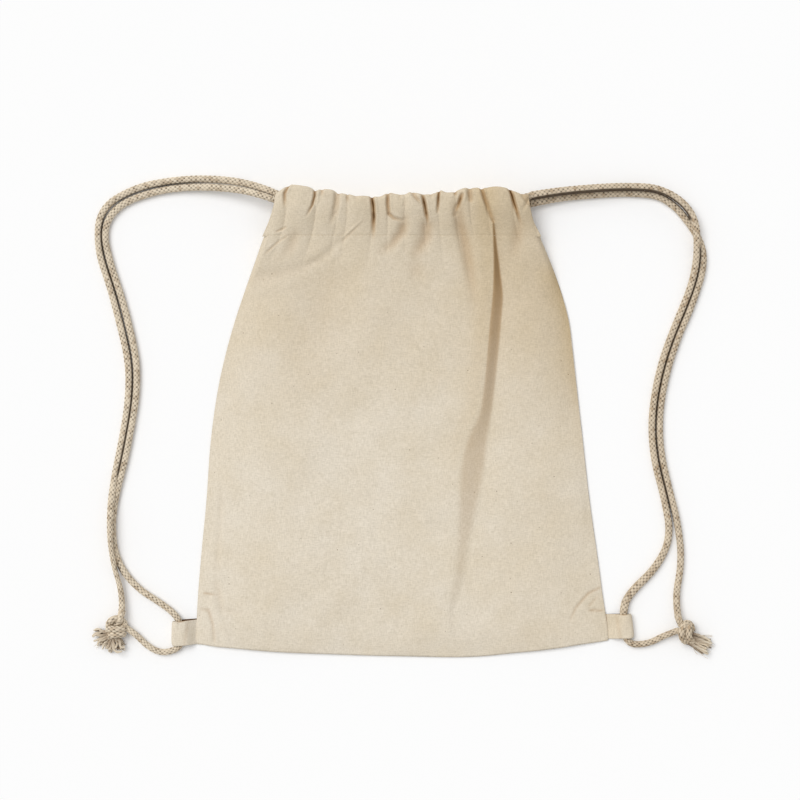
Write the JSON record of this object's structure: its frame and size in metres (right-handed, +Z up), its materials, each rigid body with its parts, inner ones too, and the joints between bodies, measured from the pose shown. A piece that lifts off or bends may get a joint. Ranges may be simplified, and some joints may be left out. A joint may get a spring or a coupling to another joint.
{
  "type": "drawstring backpack",
  "caption": "Flat cotton drawstring backpack: two seamed cloth panels, gathered casings at the mouth, and two cords that close it and run down to corner tabs as shoulder straps.",
  "frame": {"origin": "under the middle of the bag with its tabs, on the surface that the back panel lies on", "axes": "+X across the bag, +Y from the bottom seam to the gathered mouth, +Z up from the surface"},
  "size_m": [0.5688, 0.4415, 0.0288],
  "materials": {
    "calico": "unbleached plain weave",
    "calico_hem": "unbleached plain weave, gathered",
    "calico_tab": "unbleached plain weave, folded",
    "cotton_cord": "braided cotton"
  },
  "bodies": {
    "bag": {"back_panel": "calico", "front_panel": "calico", "back_casing": "calico_hem", "front_casing": "calico_hem", "left_tab": "calico_tab", "right_tab": "calico_tab", "left_direct_strand": "cotton_cord", "left_tab_strand": "cotton_cord", "right_direct_strand": "cotton_cord", "right_tab_strand": "cotton_cord", "left_knot": "cotton_cord", "right_knot": "cotton_cord", "left_frayed_ends": "cotton_cord", "right_frayed_ends": "cotton_cord"},
    "left_drawcord": {"left_casing_loop": "cotton_cord"},
    "right_drawcord": {"right_casing_loop": "cotton_cord"}
  },
  "joints": [
    {"name": "left_drawcord_slide", "type": "slide", "parent": "bag", "child": "left_drawcord", "axis": [1, 0, 0], "range_m": [0, 0.015]},
    {"name": "right_drawcord_slide", "type": "slide", "parent": "bag", "child": "right_drawcord", "axis": [-1, 0, 0], "range_m": [0, 0.015]}
  ]
}
